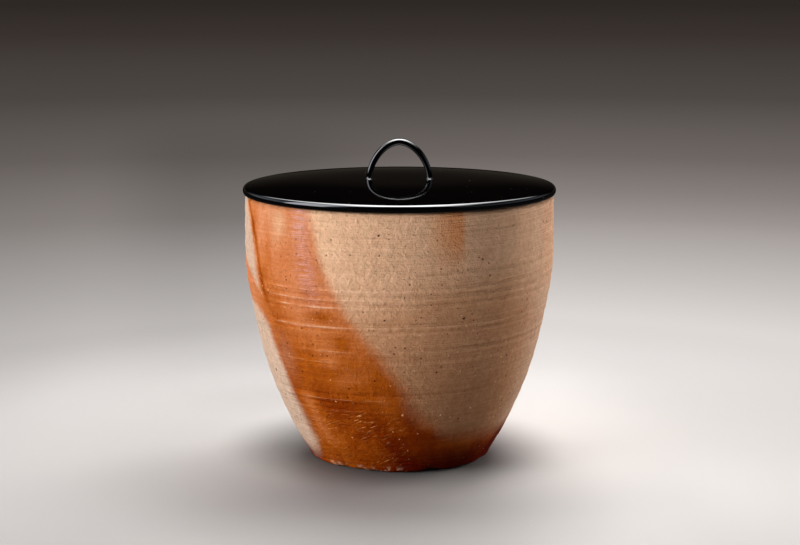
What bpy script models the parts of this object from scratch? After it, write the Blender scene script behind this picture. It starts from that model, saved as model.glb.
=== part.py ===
"""Tea ceremony water jar: an unglazed stoneware jar with a lacquered wooden lid.

Metres, +Z up. The jar's turning axis is Z and its foot stands on Z = 0. The arch of the
lid's handle lies in the XZ plane, which faces the person who looks along +Y.
"""
import math

import bmesh
import bpy

# Jar: thrown in one piece, narrow at the foot and nearly upright in its upper half
JAR_HEIGHT = 0.163
WALL_RADIUS = 0.095
FOOT_RADIUS = 0.0532
FOOT_EDGE_HEIGHT = 0.0036
RIM_THICKNESS = 0.0064
LOW_WALL_THICKNESS = 0.0092
RIM_ROUNDING = 0.0024
FLOOR_THICKNESS = 0.0095
FLOOR_CORNER_HEIGHT = 0.013
FLOOR_DISH = 0.0010
STAND_WIDTH = 0.0082
BASE_HOLLOW_DEPTH = 0.0016
BASE_HOLLOW_SLOPE = 0.0050
# Height as a share of the jar's, and swell as a share of the way from foot to full radius
SWELL_SHARES = (
    (0.022, 0.083),
    (0.050, 0.147),
    (0.100, 0.263),
    (0.200, 0.451),
    (0.300, 0.613),
    (0.400, 0.738),
    (0.500, 0.834),
    (0.600, 0.912),
    (0.680, 0.968),
    (0.750, 0.994),
    (0.850, 1.000),
    (1.000, 0.990),
)

# Ridges that the potter's fingers left in one climbing spiral, deepest on the inside
RIDGE_PITCH = 0.0112
OUTER_RIDGE = 0.00016
INNER_RIDGE = 0.00045
RIDGE_FADE = 0.012

# Chips along the edge of the foot: azimuth in degrees from the front, and size as a share
CHIP_HALF_WIDTH = 0.0075
CHIP_DEPTH = 0.0038
CHIP_HEIGHT = 0.0021
CHIP_SINK = 0.0004
FOOT_CHIP_SHARES = (
    (22.0, 1.00),
    (-38.0, 0.55),
    (141.0, 0.80),
    (-152.0, 0.90),
)

# Lid board: turned disc that rests on the rim and stands a little proud of it all round
SEAT_GAP = 0.0003
LID_OVERHANG = 0.0011
LID_EDGE_HEIGHT = 0.0051
LID_CROWN = 0.0035
LID_EDGE_UNDERCUT = 0.0017
LID_EDGE_LOWER_HEIGHT = 0.0024
LID_SHOULDER_WIDTH = 0.0024
LID_HOLLOW_DEPTH = 0.0022
CROWN_POWER_SHARE = 3.6

# Seat ring: thin hoop let into the underside of the board, which centres the lid in the mouth
RING_PLAY = 0.0015
RING_THICKNESS = 0.0030
RING_DROP = 0.0058
RING_GROOVE_DEPTH = 0.0016
RING_EDGE_BEVEL = 0.0008

# Handle: round bar bent to an arch, thickest at its crown, with a tenon at each foot
HANDLE_HALF_SPAN = 0.0185
HANDLE_RISE = 0.0228
HANDLE_CROWN_RADIUS = 0.0022
HANDLE_FOOT_RADIUS = 0.00175
HANDLE_TENON = 0.0034
ARCH_POWER_SHARE = 1.8

JAR_STEPS = 48
LID_STEPS = 56
INNER_LEVELS = 40
OUTER_LEVELS = 54
ARC_STEPS = 4
CROWN_STEPS = 9
ARCH_STEPS = 28
BAR_SIDES = 12
CHIP_ROUNDS = 3
CREASE_DEGREES = 50
MERGE_DISTANCE = 0.00001

JAR_TOP = JAR_HEIGHT
LID_UNDERSIDE = JAR_TOP + SEAT_GAP
LID_RADIUS = WALL_RADIUS + LID_OVERHANG
MOUTH_RADIUS = WALL_RADIUS - RIM_THICKNESS
RING_OUTER_RADIUS = MOUTH_RADIUS - RING_PLAY


def on_table(table, place):
    """Value at a place on the smooth curve through a table of (place, value) pairs."""
    last = len(table) - 1
    span = 0
    while span < last - 1 and place > table[span + 1][0]:
        span += 1
    (x0, y0), (x1, y1) = table[span], table[span + 1]

    def slope(index):
        low, high = max(index - 1, 0), min(index + 1, last)
        return (table[high][1] - table[low][1]) / (table[high][0] - table[low][0])

    width = x1 - x0
    t = (place - x0) / width
    rise = y1 - y0
    start, end = slope(span) * width, slope(span + 1) * width
    return y0 + t * (start + t * (3 * rise - 2 * start - end + t * (start + end - 2 * rise)))


def outer_radius(z):
    """Radius of the jar's outer wall at a height above the foot's edge."""
    swell = on_table(SWELL_SHARES, z / JAR_HEIGHT)
    return FOOT_RADIUS + (WALL_RADIUS - FOOT_RADIUS) * swell


def inner_radius(z):
    """Radius of the jar's inside: the wall thickens towards the foot."""
    low = (1.0 - z / JAR_HEIGHT) ** 2
    thickness = RIM_THICKNESS + (LOW_WALL_THICKNESS - RIM_THICKNESS) * low
    return outer_radius(z) - thickness


def spaced(start, end, count):
    """Evenly spaced values from start to end, both included."""
    return [start + (end - start) * step / count for step in range(count + 1)]


def arc(centre_r, centre_z, width, height, start_deg, end_deg):
    """Points on an elliptical arc in the turning profile."""
    angles = (math.radians(a) for a in spaced(start_deg, end_deg, ARC_STEPS))
    return [(centre_r + width * math.cos(a), centre_z + height * math.sin(a)) for a in angles]


def corner_curve(first, corner, last):
    """Smooth bend from the first point to the last, pulled towards the corner."""
    points = []
    for t in spaced(0.0, 1.0, ARC_STEPS):
        weights = ((1 - t) ** 2, 2 * t * (1 - t), t ** 2)
        points.append(tuple(
            sum(weight * point[axis] for weight, point in zip(weights, (first, corner, last)))
            for axis in range(2)))
    return points


def jar_profile():
    """Half section of the jar, from the middle of its floor round the rim to the base."""
    floor_edge = FLOOR_THICKNESS + FLOOR_DISH
    corner_top = floor_edge + FLOOR_CORNER_HEIGHT
    top_radius = inner_radius(corner_top)
    floor_radius = top_radius - FLOOR_CORNER_HEIGHT
    bend = (inner_radius(floor_edge), floor_edge)
    wall_top = JAR_HEIGHT - RIM_ROUNDING
    mouth = inner_radius(wall_top)
    outside = outer_radius(wall_top)

    points = [(0.0, FLOOR_THICKNESS)]
    points += corner_curve((floor_radius, floor_edge), bend, (top_radius, corner_top))
    points += [(inner_radius(z), z) for z in spaced(corner_top, wall_top, INNER_LEVELS)[1:-1]]
    points += arc(mouth + RIM_ROUNDING, wall_top, RIM_ROUNDING, RIM_ROUNDING, 180, 90)
    points += arc(outside - RIM_ROUNDING, wall_top, RIM_ROUNDING, RIM_ROUNDING, 90, 0)
    points += [(outer_radius(z), z)
               for z in spaced(wall_top, FOOT_EDGE_HEIGHT, OUTER_LEVELS)[1:-1]]
    foot_width = outer_radius(FOOT_EDGE_HEIGHT) - FOOT_RADIUS
    points += arc(FOOT_RADIUS, FOOT_EDGE_HEIGHT, foot_width, FOOT_EDGE_HEIGHT, 0, -90)
    hollow_edge = FOOT_RADIUS - STAND_WIDTH
    points.append((hollow_edge, 0.0))
    points.append((hollow_edge - BASE_HOLLOW_SLOPE, BASE_HOLLOW_DEPTH))
    points.append((0.0, BASE_HOLLOW_DEPTH))
    return points


def crown_height(radius):
    """Height of the lid's domed top at a radius."""
    shoulder = LID_UNDERSIDE + LID_EDGE_HEIGHT
    share = radius / (LID_RADIUS - LID_SHOULDER_WIDTH)
    return shoulder + LID_CROWN * (1.0 - share ** CROWN_POWER_SHARE)


def lid_board_profile():
    """Half section of the lid board, from the crown round its edge to the hollow below."""
    shoulder_radius = LID_RADIUS - LID_SHOULDER_WIDTH
    widest = LID_UNDERSIDE + LID_EDGE_LOWER_HEIGHT
    shoulder_height = LID_EDGE_HEIGHT - LID_EDGE_LOWER_HEIGHT
    groove_outer = RING_OUTER_RADIUS + SEAT_GAP
    groove_inner = RING_OUTER_RADIUS - RING_THICKNESS - SEAT_GAP
    groove_top = LID_UNDERSIDE + RING_GROOVE_DEPTH

    points = [(r, crown_height(r)) for r in spaced(0.0, shoulder_radius, CROWN_STEPS)[:-1]]
    points += arc(shoulder_radius, widest, LID_SHOULDER_WIDTH, shoulder_height, 90, 0)
    points += arc(LID_RADIUS - LID_EDGE_UNDERCUT, widest, LID_EDGE_UNDERCUT,
                  LID_EDGE_LOWER_HEIGHT, 0, -90)[1:]
    points.append((groove_outer, LID_UNDERSIDE))
    points.append((groove_outer, groove_top))
    points.append((groove_inner, groove_top))
    points.append((groove_inner, LID_UNDERSIDE))
    points += [(r, LID_UNDERSIDE + LID_HOLLOW_DEPTH * (1.0 - (r / groove_inner) ** 2))
               for r in spaced(groove_inner, 0.0, ARC_STEPS)[1:]]
    return points


def seat_ring_profile():
    """Closed half section of the hoop, with its lower edges eased."""
    top = LID_UNDERSIDE + RING_GROOVE_DEPTH - SEAT_GAP
    bottom = LID_UNDERSIDE - RING_DROP
    outer = RING_OUTER_RADIUS
    inner = RING_OUTER_RADIUS - RING_THICKNESS
    return [
        (outer, top),
        (outer, bottom + RING_EDGE_BEVEL),
        (outer - RING_EDGE_BEVEL, bottom),
        (inner + RING_EDGE_BEVEL, bottom),
        (inner, bottom + RING_EDGE_BEVEL),
        (inner, top),
    ]


def material(name, colour, roughness, metallic=0.0):
    """Surface of one piece."""
    made = bpy.data.materials.new(name)
    made.use_nodes = True
    shader = made.node_tree.nodes["Principled BSDF"]
    shader.inputs["Base Color"].default_value = (*colour, 1.0)
    shader.inputs["Roughness"].default_value = roughness
    shader.inputs["Metallic"].default_value = metallic
    made.diffuse_color = (*colour, 1.0)
    return made


def add_object(name, data, collection, parent=None):
    """Link a new object, keeping the place that its mesh or curve has in the world."""
    made = bpy.data.objects.new(name, data)
    collection.objects.link(made)
    if parent is not None:
        made.parent = parent
        made.location = [-place for place in parent.location]
    return made


def turned(name, profile, closed, steps, surface, collection, parent):
    """Turn a half section about Z in a number of steps."""
    mesh = bpy.data.meshes.new(name)
    edges = [(i, i + 1) for i in range(len(profile) - 1)]
    if closed:
        edges.append((len(profile) - 1, 0))
    mesh.from_pydata([(r, 0.0, z) for r, z in profile], edges, [])
    mesh.materials.append(surface)
    made = add_object(name, mesh, collection, parent)
    screw = made.modifiers.new("turning", "SCREW")
    screw.axis = "Z"
    screw.steps = steps
    screw.render_steps = steps
    screw.use_merge_vertices = True
    screw.merge_threshold = MERGE_DISTANCE
    screw.use_smooth_shade = True
    return made


def ridge_at(azimuth, z):
    """Height of the throwing spiral at a point of the wall, from -1 in a furrow to 1.

    It climbs one pitch a turn and fades out near the foot and the rim.
    """
    climb = 2 * math.pi * z / RIDGE_PITCH - azimuth
    room = min(JAR_HEIGHT - z, z) / RIDGE_FADE - 1.0
    return -math.cos(climb) * min(1.0, max(0.0, room))


def throw_ridges(jar):
    """Make the turned jar a plain mesh and move its wall out and in along the spiral."""
    bpy.context.view_layer.update()
    evaluated = jar.evaluated_get(bpy.context.evaluated_depsgraph_get())
    mesh = bpy.data.meshes.new_from_object(evaluated)
    mesh.name = jar.name
    jar.modifiers.clear()
    jar.data = mesh
    for vertex in mesh.vertices:
        x, y, z = vertex.co
        radius = math.hypot(x, y)
        if radius < MERGE_DISTANCE:
            continue
        outside = radius > (outer_radius(z) + inner_radius(z)) / 2
        ridge = OUTER_RIDGE if outside else -INNER_RIDGE
        scale = 1.0 + ridge * ridge_at(math.atan2(x, -y), z) / radius
        vertex.co = (x * scale, y * scale, z)


def cut_out(piece, cutter, name):
    """Subtract a cutter from a piece and hide the cutter."""
    cutter.hide_render = True
    cutter.display_type = "WIRE"
    cut = piece.modifiers.new(name, "BOOLEAN")
    cut.operation = "DIFFERENCE"
    cut.solver = "EXACT"
    cut.object = cutter


def chip_foot(jar, azimuth, share, cutters):
    """Break a shallow chip out of the foot's edge."""
    mesh = bpy.data.meshes.new("foot_chip_cutter")
    shape = bmesh.new()
    bmesh.ops.create_icosphere(shape, subdivisions=CHIP_ROUNDS, radius=1.0)
    shape.to_mesh(mesh)
    shape.free()
    cutter = bpy.data.objects.new("foot_chip_cutter", mesh)
    cutters.objects.link(cutter)
    turn = math.radians(azimuth)
    cutter.scale = (CHIP_HALF_WIDTH * share, CHIP_DEPTH * share, CHIP_HEIGHT * share)
    cutter.location = (FOOT_RADIUS * math.sin(turn), -FOOT_RADIUS * math.cos(turn),
                       -CHIP_SINK * share)
    cutter.rotation_euler = (0.0, 0.0, turn)
    cut_out(jar, cutter, "foot_chip")


def arch_points():
    """Centre line of the bar with its radius: a tenon, the arch and the other tenon."""
    foot = crown_height(HANDLE_HALF_SPAN)
    points = [(-HANDLE_HALF_SPAN, foot - HANDLE_TENON, HANDLE_FOOT_RADIUS)]
    for angle in spaced(math.pi, 0.0, ARCH_STEPS):
        along, up = math.cos(angle), math.sin(angle)
        x = math.copysign(abs(along) ** (2 / ARCH_POWER_SHARE), along) * HANDLE_HALF_SPAN
        rise = abs(up) ** (2 / ARCH_POWER_SHARE)
        radius = HANDLE_FOOT_RADIUS + (HANDLE_CROWN_RADIUS - HANDLE_FOOT_RADIUS) * rise
        points.append((x, foot + HANDLE_RISE * rise, radius))
    points.append((HANDLE_HALF_SPAN, foot - HANDLE_TENON, HANDLE_FOOT_RADIUS))
    return points


def bent_handle(name, surface, collection, parent):
    """Round bar along the arch, as a curve made a closed mesh."""
    guide_data = bpy.data.curves.new(name + "_line", "CURVE")
    guide_data.dimensions = "3D"
    guide_data.bevel_mode = "ROUND"
    guide_data.bevel_depth = HANDLE_CROWN_RADIUS
    guide_data.bevel_resolution = BAR_SIDES // 2 - 2
    guide_data.use_fill_caps = True
    line = guide_data.splines.new("POLY")
    places = arch_points()
    line.points.add(len(places) - 1)
    for point, (x, z, radius) in zip(line.points, places):
        point.co = (x, 0.0, z, 1.0)
        point.radius = radius / HANDLE_CROWN_RADIUS
    guide = add_object(name + "_line", guide_data, collection)
    bpy.context.view_layer.update()

    evaluated = guide.evaluated_get(bpy.context.evaluated_depsgraph_get())
    mesh = bpy.data.meshes.new_from_object(evaluated)
    mesh.name = name
    shape = bmesh.new()
    shape.from_mesh(mesh)
    bmesh.ops.remove_doubles(shape, verts=shape.verts, dist=MERGE_DISTANCE)
    bmesh.ops.recalc_face_normals(shape, faces=shape.faces)
    shape.to_mesh(mesh)
    shape.free()
    mesh.shade_smooth()
    mesh.set_sharp_from_angle(angle=math.radians(CREASE_DEGREES))
    mesh.materials.clear()
    mesh.materials.append(surface)
    made = add_object(name, mesh, collection, parent)
    bpy.data.objects.remove(guide)
    return made


def cut_mortise(board, side, cutters):
    """Blind round hole in the board for the tenon on one side of the handle."""
    foot = crown_height(HANDLE_HALF_SPAN)
    bottom = foot - HANDLE_TENON - SEAT_GAP
    overrun = HANDLE_TENON
    mesh = bpy.data.meshes.new("mortise_cutter")
    shape = bmesh.new()
    bmesh.ops.create_cone(
        shape, cap_ends=True, segments=2 * BAR_SIDES,
        radius1=HANDLE_FOOT_RADIUS + SEAT_GAP, radius2=HANDLE_FOOT_RADIUS + SEAT_GAP,
        depth=foot + overrun - bottom)
    shape.to_mesh(mesh)
    shape.free()
    cutter = bpy.data.objects.new("mortise_cutter", mesh)
    cutters.objects.link(cutter)
    cutter.location = (side * HANDLE_HALF_SPAN, 0.0, (foot + overrun + bottom) / 2)
    cut_out(board, cutter, "mortise")


def build():
    """Make the jar, its lid and the empties that carry them."""
    for old in list(bpy.data.objects):
        bpy.data.objects.remove(old)
    scene = bpy.context.scene.collection
    pieces = bpy.data.collections.new("tea_ceremony_water_jar")
    cutters = bpy.data.collections.new("cutters")
    scene.children.link(pieces)
    scene.children.link(cutters)

    stand = bpy.data.objects.new("jar_stand", None)
    lift = bpy.data.objects.new("lid_lift", None)
    pieces.objects.link(stand)
    pieces.objects.link(lift)
    lift.parent = stand
    lift.location = (0.0, 0.0, JAR_TOP)

    clay = material("fired_clay", (0.52, 0.31, 0.20), 0.85)
    lacquer = material("black_lacquer", (0.006, 0.005, 0.005), 0.06)
    ring_lacquer = material("ring_lacquer", (0.008, 0.007, 0.006), 0.16)
    bar_lacquer = material("handle_lacquer", (0.006, 0.005, 0.005), 0.08)

    jar = turned("jar_body", jar_profile(), False, JAR_STEPS, clay, pieces, stand)
    throw_ridges(jar)
    for azimuth, share in FOOT_CHIP_SHARES:
        chip_foot(jar, azimuth, share, cutters)
    board = turned("lid_board", lid_board_profile(), False, LID_STEPS, lacquer, pieces, lift)
    turned("lid_seat_ring", seat_ring_profile(), True, LID_STEPS, ring_lacquer, pieces, lift)
    for side in (-1, 1):
        cut_mortise(board, side, cutters)
    bent_handle("lid_handle", bar_lacquer, pieces, lift)


build()
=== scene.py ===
"""Tea ceremony water jar: a fire-marked stoneware jar under a black lacquered lid.

Metres, +Z up, the jar's axis on Z. The person who looks at it stands at -Y, and azimuths
on the jar are counted from there, positive to that person's right.
"""
import math

import bpy
import numpy as np
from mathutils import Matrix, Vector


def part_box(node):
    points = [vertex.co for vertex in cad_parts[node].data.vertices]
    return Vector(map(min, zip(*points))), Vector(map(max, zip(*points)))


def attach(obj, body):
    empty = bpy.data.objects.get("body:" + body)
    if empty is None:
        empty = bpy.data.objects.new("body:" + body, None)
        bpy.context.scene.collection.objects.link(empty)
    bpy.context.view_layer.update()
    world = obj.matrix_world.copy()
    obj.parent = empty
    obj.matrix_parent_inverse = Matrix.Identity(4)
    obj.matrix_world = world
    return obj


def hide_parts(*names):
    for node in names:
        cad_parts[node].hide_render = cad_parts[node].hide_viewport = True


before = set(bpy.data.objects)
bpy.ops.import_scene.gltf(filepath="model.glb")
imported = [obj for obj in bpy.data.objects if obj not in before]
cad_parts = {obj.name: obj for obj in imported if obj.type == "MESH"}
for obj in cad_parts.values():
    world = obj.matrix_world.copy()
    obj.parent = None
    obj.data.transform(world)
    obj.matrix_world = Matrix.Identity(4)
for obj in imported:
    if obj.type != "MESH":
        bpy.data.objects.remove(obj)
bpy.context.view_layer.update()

# The jar.
# One pot of coarse, unglazed clay, thrown on a wheel that left soft spiral ridges, and
# fired in a wood kiln. It stands on a narrow foot whose cut edge is chipped and uneven.
JAR_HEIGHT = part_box("jar_body")[1].z
WALL_RADIUS = 0.095
FOOT_RADIUS = 0.0532
FOOT_EDGE_HEIGHT = 0.0036
RIM_THICKNESS = 0.0064
LOW_WALL_THICKNESS = 0.0092
RIM_ROUNDING = 0.0024
FLOOR_THICKNESS = 0.0095
FLOOR_CORNER_HEIGHT = 0.013
FLOOR_DISH = 0.0010
STAND_WIDTH = 0.0082
BASE_HOLLOW_DEPTH = 0.0016
BASE_HOLLOW_SLOPE = 0.0050
# Height as a share of the jar's, and swell as a share of the way from foot to full radius
SWELL_SHARES = (
    (0.022, 0.083), (0.050, 0.147), (0.100, 0.263), (0.200, 0.451), (0.300, 0.613),
    (0.400, 0.738), (0.500, 0.834), (0.600, 0.912), (0.680, 0.968), (0.750, 0.994),
    (0.850, 1.000), (1.000, 0.990),
)
JAR_COLUMNS = 336
# Wheel marks on the spiral: height in front, how far the ridge stands out, its half width
# (all mm), and the azimuths (degrees) between which it shows
WHEEL_MARKS = (
    (157.6, 0.12, 0.8, -5, 80), (153.6, 0.08, 0.8, 8, 90), (149.4, 0.07, 0.9, -5, 80),
    (141.6, 0.08, 1, -5, 80), (130.4, 0.11, 1.1, 8, 105), (127.5, -0.04, 1.1, 8, 90),
    (125.5, 0.08, 0.9, 8, 90), (120, -0.12, 1, -55, 72), (117.7, 0.20, 0.9, -55, 108),
    (115.1, -0.14, 1.1, -55, 72), (112.3, 0.15, 0.9, -55, 72), (112.1, 0.12, 0.8, -53, -22),
    (109.9, -0.20, 1, -55, 60), (107.6, 0.13, 1, -55, 72), (107.4, 0.18, 0.8, -53, -22),
    (98.2, -0.12, 1.2, -55, 60), (95.6, 0.22, 0.8, -55, 108), (95.4, 0.08, 0.7, -53, -22),
    (93.6, -0.13, 0.8, -55, 60), (91.9, 0.12, 0.8, -45, 80), (86.2, 0.13, 1, -47, -6),
    (84.2, 0.13, 0.9, 8, 105), (82.4, -0.13, 0.8, 8, 90), (80.4, 0.17, 0.9, -45, 80),
    (77.6, -0.10, 1, -45, 80), (73.7, 0.15, 1.3, -55, 72), (61.9, 0.11, 0.9, -47, -6),
    (53.9, -0.20, 1.2, -60, 40), (49.9, 0.20, 0.6, -65, -5), (49.9, 0.06, 0.8, -5, 80),
    (47.8, -0.18, 0.9, -65, -5), (42.3, 0.13, 1.1, -60, 40),
)
SPIRAL_RISE = 0.0112
# Ripples along the spiral: depth and pitch (mm), then reach, waves a turn and start of a waver
RIPPLES = (
    (0.10, 11.2, 0.6, 3, 0),
    (0.05, 5.3, 1.7, 2, 1),
    (0.035, 2.3, 2, 5, 0),
)
# Sway of the wall: depth (mm), waves a turn, start, and mm of climb to a radian
SWAYS = ((0.22, 2, 0.5, 60), (0.12, 3, 0, -35))
# Plain wall under the lid, and how the relief sets in below it and above the foot (mm)
PLAIN_UNDER_LID = 3.0
LID_FADE = 6.0
FOOT_FADE = 14.0
# Ridges inside: depth, how far below the rim they end and fade, and their lowest height
INNER_RIDGE = 0.00035
INNER_RIDGE_END = 0.014
INNER_RIDGE_FADE = 0.010
INNER_RIDGE_START = 0.0152
# Rings next to the rim that carry no ridges inside and no wear outside
PLAIN_RINGS_IN = 5
PLAIN_RINGS_OUT = 8
# Shares of the foot radius past which a ring is outer wall, and past which its edge lifts
OUTSIDE_SHARE = 0.97
LIFTED_SHARE = 0.9
# Wear of the foot: its reach and the top of the lifted edge (m), lift and wear there (mm)
WEAR_HEIGHT = 0.0030
LIFTED_HEIGHT = 0.006
EDGE_LIFT = 0.45
EDGE_WEAR = 0.10
# Its chips: azimuth and half width (degrees), how far the edge is lifted and worn back (mm)
FOOT_CHIPS = (
    (21, 6.5, 1.2, 1.5), (-14, 4, 0.25, 0.6), (-26, 7, 0.30, 1), (-38, 4.5, 0.5, 1),
    (64, 6, 0.4, 0.7), (141, 6, 1.1, 1.5), (-152, 7, 1.1, 1.5), (-96, 4, 0.4, 0.6),
)


def swell_curve(share):
    """Swell at a share of the height: cubic spans through the table, which share slopes."""
    places, values = np.array(SWELL_SHARES).T
    slopes = np.gradient(values, places)
    span = np.clip(np.searchsorted(places, share) - 1, 0, len(places) - 2)
    width = places[span + 1] - places[span]
    t = (share - places[span]) / width
    rise = values[span + 1] - values[span]
    start, end = slopes[span] * width, slopes[span + 1] * width
    return values[span] + t * (start + t * (3 * rise - 2 * start - end
                                            + t * (start + end - 2 * rise)))


def wall_outside(z):
    """Outer radius at a height: foot radius plus the swell towards the full radius."""
    return FOOT_RADIUS + (WALL_RADIUS - FOOT_RADIUS) * swell_curve(z / JAR_HEIGHT)


def wall_inside(z):
    """Inner radius: the outer one less a wall that thickens with the square of depth."""
    low = (1.0 - z / JAR_HEIGHT) ** 2
    return wall_outside(z) - RIM_THICKNESS - (LOW_WALL_THICKNESS - RIM_THICKNESS) * low


def quarter(centre_r, centre_z, width, height, start, end, count):
    """Points on an ellipse between two angles in degrees, without the first point."""
    angle = np.radians(np.linspace(start, end, count + 1)[1:])
    return np.stack([centre_r + width * np.cos(angle), centre_z + height * np.sin(angle)], 1)


def jar_section():
    """Half section of the jar from the floor's middle round the rim to the base's middle."""
    floor_edge = FLOOR_THICKNESS + FLOOR_DISH
    corner_top = floor_edge + FLOOR_CORNER_HEIGHT
    top_radius = wall_inside(corner_top)
    floor_radius = top_radius - FLOOR_CORNER_HEIGHT
    floor_r = np.linspace(0.0, floor_radius, 12)
    floor = np.stack([floor_r, FLOOR_THICKNESS + FLOOR_DISH * (floor_r / floor_radius) ** 2], 1)
    t = np.linspace(0.0, 1.0, 9)[1:, None]
    bend = np.array([wall_inside(floor_edge), floor_edge])
    corner = ((1 - t) ** 2 * floor[-1] + 2 * t * (1 - t) * bend
              + t ** 2 * np.array([top_radius, corner_top]))
    wall_top = JAR_HEIGHT - RIM_ROUNDING
    inner_z = np.linspace(corner_top, wall_top, 58)[1:]
    inner = np.stack([wall_inside(inner_z), inner_z], 1)
    outer_z = np.linspace(wall_top, FOOT_EDGE_HEIGHT, 188)[1:]
    outer = np.stack([wall_outside(outer_z), outer_z], 1)
    rim_in = quarter(inner[-1, 0] + RIM_ROUNDING, wall_top, RIM_ROUNDING, RIM_ROUNDING, 180, 90, 5)
    rim_edge = wall_outside(wall_top) - RIM_ROUNDING
    rim_out = quarter(rim_edge, wall_top, RIM_ROUNDING, RIM_ROUNDING, 90, 0, 5)
    rim_flat = np.linspace(rim_in[-1], [rim_edge, JAR_HEIGHT], 3)[1:]
    foot = quarter(FOOT_RADIUS, FOOT_EDGE_HEIGHT, outer[-1, 0] - FOOT_RADIUS,
                   FOOT_EDGE_HEIGHT, 0, -90, 9)
    stand = np.linspace(foot[-1], [FOOT_RADIUS - STAND_WIDTH, 0.0], 3)[1:]
    hollow = np.linspace(stand[-1], [stand[-1, 0] - BASE_HOLLOW_SLOPE, BASE_HOLLOW_DEPTH], 3)[1:]
    middle = np.linspace(hollow[-1], [0.0, BASE_HOLLOW_DEPTH], 4)[1:]
    return np.concatenate([floor, corner, inner, rim_in, rim_flat, rim_out, outer, foot,
                           stand, hollow, middle])


def turned_grid(section, columns):
    """Points of a half section carried round Z: (r sin a, -r cos a, z) at each azimuth a."""
    azimuth = np.linspace(-math.pi, math.pi, columns, endpoint=False)
    r, z = section[:, 0, None], section[:, 1, None]
    return np.stack([r * np.sin(azimuth), -r * np.cos(azimuth), z + 0.0 * azimuth], -1)


def smooth_mesh(name, points, faces):
    """Mesh of points and faces, shaded smooth."""
    mesh = bpy.data.meshes.new(name)
    mesh.from_pydata(points, [], faces)
    mesh.shade_smooth()
    return mesh


def closed_mesh(name, *grids):
    """Mesh over grids of rings whose first and last ring have shrunk to one point each."""
    points, faces = [], []
    for grid in grids:
        rows, columns = grid.shape[:2]
        start = len(points)
        points += [*grid[:1, 0].tolist(), *grid[1:-1].reshape(-1, 3).tolist(),
                   *grid[-1:, 0].tolist()]
        ring = start + 1 + np.arange(rows - 2)[:, None] * columns
        here = np.arange(columns)
        after = np.roll(here, -1)
        quads = np.stack([ring[:-1] + here, ring[1:] + here, ring[1:] + after,
                          ring[:-1] + after], -1).reshape(-1, 4)
        first = np.stack([0 * here + start, ring[0] + here, ring[0] + after], -1)
        last = np.stack([0 * here + len(points) - 1, ring[-1] + after, ring[-1] + here], -1)
        faces += quads.tolist() + first.tolist() + last.tolist()
    return smooth_mesh(name, points, faces)


def place_piece(name, mesh, body, finish, replaced=()):
    """Put a finished mesh in the scene, on its body, with its finish."""
    piece = bpy.data.objects.new(name, mesh)
    bpy.context.scene.collection.objects.link(piece)
    mesh.materials.append(finish)
    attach(piece, body)
    if replaced:
        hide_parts(*replaced)


def bump_shape(distance, width):
    """Rounded ridge: one at distance zero, falling as a bell of that half width."""
    return np.exp(-(distance / width) ** 2)


def show_between(azimuth, start, end, fade=9.0):
    """One between two azimuths in degrees, fading to nothing past both."""
    inside = np.minimum(azimuth - start, end - azimuth)
    return np.clip(0.5 + inside / fade, 0.0, 1.0)


def thrown_relief(azimuth, z):
    """How far the outer wall stands out of its smooth section, in metres.

    The sum of the wheel marks, each a bell across a spiral that climbs SPIRAL_RISE a turn,
    of a low ripple along the same spiral, and of the slight sway of a hand-thrown wall.
    """
    degrees = np.degrees(azimuth)
    spiral = SPIRAL_RISE * azimuth / (2 * math.pi)
    level = (z - spiral) * 1000.0
    relief = 0.0 * level
    for height, out, width, start, end in WHEEL_MARKS:
        relief += out * bump_shape(level - height, width) * show_between(degrees, start, end)
    ripple, sway = 0.0 * level, 0.0 * level
    for out, pitch, reach, times, start in RIPPLES:
        waver = reach * np.sin(times * azimuth + start)
        ripple += out * np.sin(level * 2 * math.pi / pitch + waver)
    for out, waves, start, climb in SWAYS:
        sway += out * np.sin(waves * azimuth + start + level / climb)
    below_lid = np.clip((JAR_HEIGHT * 1000 - PLAIN_UNDER_LID - z * 1000) / LID_FADE, 0.0, 1.0)
    above_foot = np.clip(z * 1000 / FOOT_FADE, 0.0, 1.0)
    return (relief + ripple * above_foot + sway) * below_lid * 0.001


def worn_foot(azimuth, z):
    """Lift and wear of the foot's edge, in metres: bells in azimuth that fade with height."""
    degrees = np.degrees(azimuth)
    low = bump_shape(z, WEAR_HEIGHT) * 0.001
    lift, wear = 0.0 * degrees * z, 0.0 * degrees * z
    for centre, half_width, up, back in FOOT_CHIPS:
        bell = bump_shape((degrees - centre + 180) % 360 - 180, half_width)
        lift += up * bell
        wear += back * bell
    shiver = np.sin(azimuth * 17) * 0.05 + np.sin(azimuth * 41 + 1) * 0.03
    return (lift + shiver + EDGE_LIFT) * low, (wear + shiver + EDGE_WEAR) * low


def outside_rows():
    """Which rings of the jar's surface lie on its outer wall, from below the rim to the foot."""
    section = jar_section()
    past_rim = np.arange(len(section)) > np.argmax(section[:, 1]) + 2
    return past_rim & (section[:, 0] > FOOT_RADIUS * OUTSIDE_SHARE)


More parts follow.
